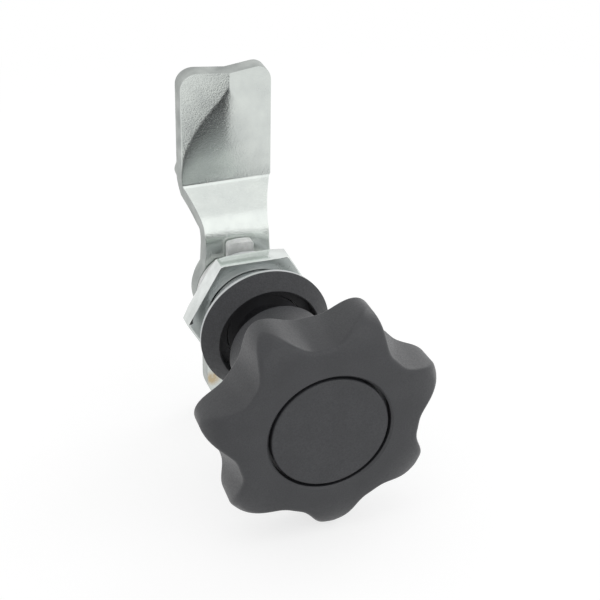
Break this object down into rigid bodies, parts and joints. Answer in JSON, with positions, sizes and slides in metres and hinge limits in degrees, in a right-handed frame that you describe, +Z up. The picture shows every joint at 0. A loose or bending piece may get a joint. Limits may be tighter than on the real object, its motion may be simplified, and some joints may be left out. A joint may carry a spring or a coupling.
{
  "type": "cam latch",
  "caption": "Panel cam latch: lobed hand knob in front, threaded barrel with collar and nut, cranked arm that turns a quarter turn behind the panel.",
  "frame": {"origin": "on the turning axis, in the plane of the panel's outer face, where the collar seats", "axes": "+Y along the turning axis into the panel, away from the knob; +Z up, along the latch arm at rest; +X to the right as seen from the knob"},
  "size_m": [0.0503, 0.0731, 0.0814],
  "materials": {
    "housing": "die-cast zinc, collar powder coated black, barrel plain",
    "lock_nut": "zinc plated steel, clear passivated",
    "star_knob": "black moulded plastic, fine matt grain",
    "knob_cap": "black moulded plastic, fine matt grain",
    "knob_insert": "brass, plain",
    "knob_washer": "zinc plated steel",
    "knob_screw": "black oxide steel",
    "spindle": "die-cast zinc, blackened",
    "spindle_seal": "black rubber",
    "stop_disc": "zinc plated steel, clear passivated",
    "latch_arm": "zinc plated sheet steel, clear passivated",
    "arm_washer": "zinc plated steel",
    "arm_lock_washer": "spring steel",
    "arm_screw": "zinc plated steel"
  },
  "bodies": {
    "panel_side": {"housing": "housing", "lock_nut": "lock_nut"},
    "turning": {"star_knob": "star_knob", "knob_cap": "knob_cap", "knob_insert": "knob_insert", "knob_washer": "knob_washer", "knob_screw": "knob_screw", "spindle": "spindle", "spindle_seal": "spindle_seal", "stop_disc": "stop_disc", "latch_arm": "latch_arm", "arm_washer": "arm_washer", "arm_lock_washer": "arm_lock_washer", "arm_screw": "arm_screw"}
  },
  "joints": [
    {"name": "knob_turn", "type": "hinge", "parent": "panel_side", "child": "turning", "pos_m": [0, 0, 0], "axis": [0, 1, 0], "range_deg": [0, 90]}
  ]
}
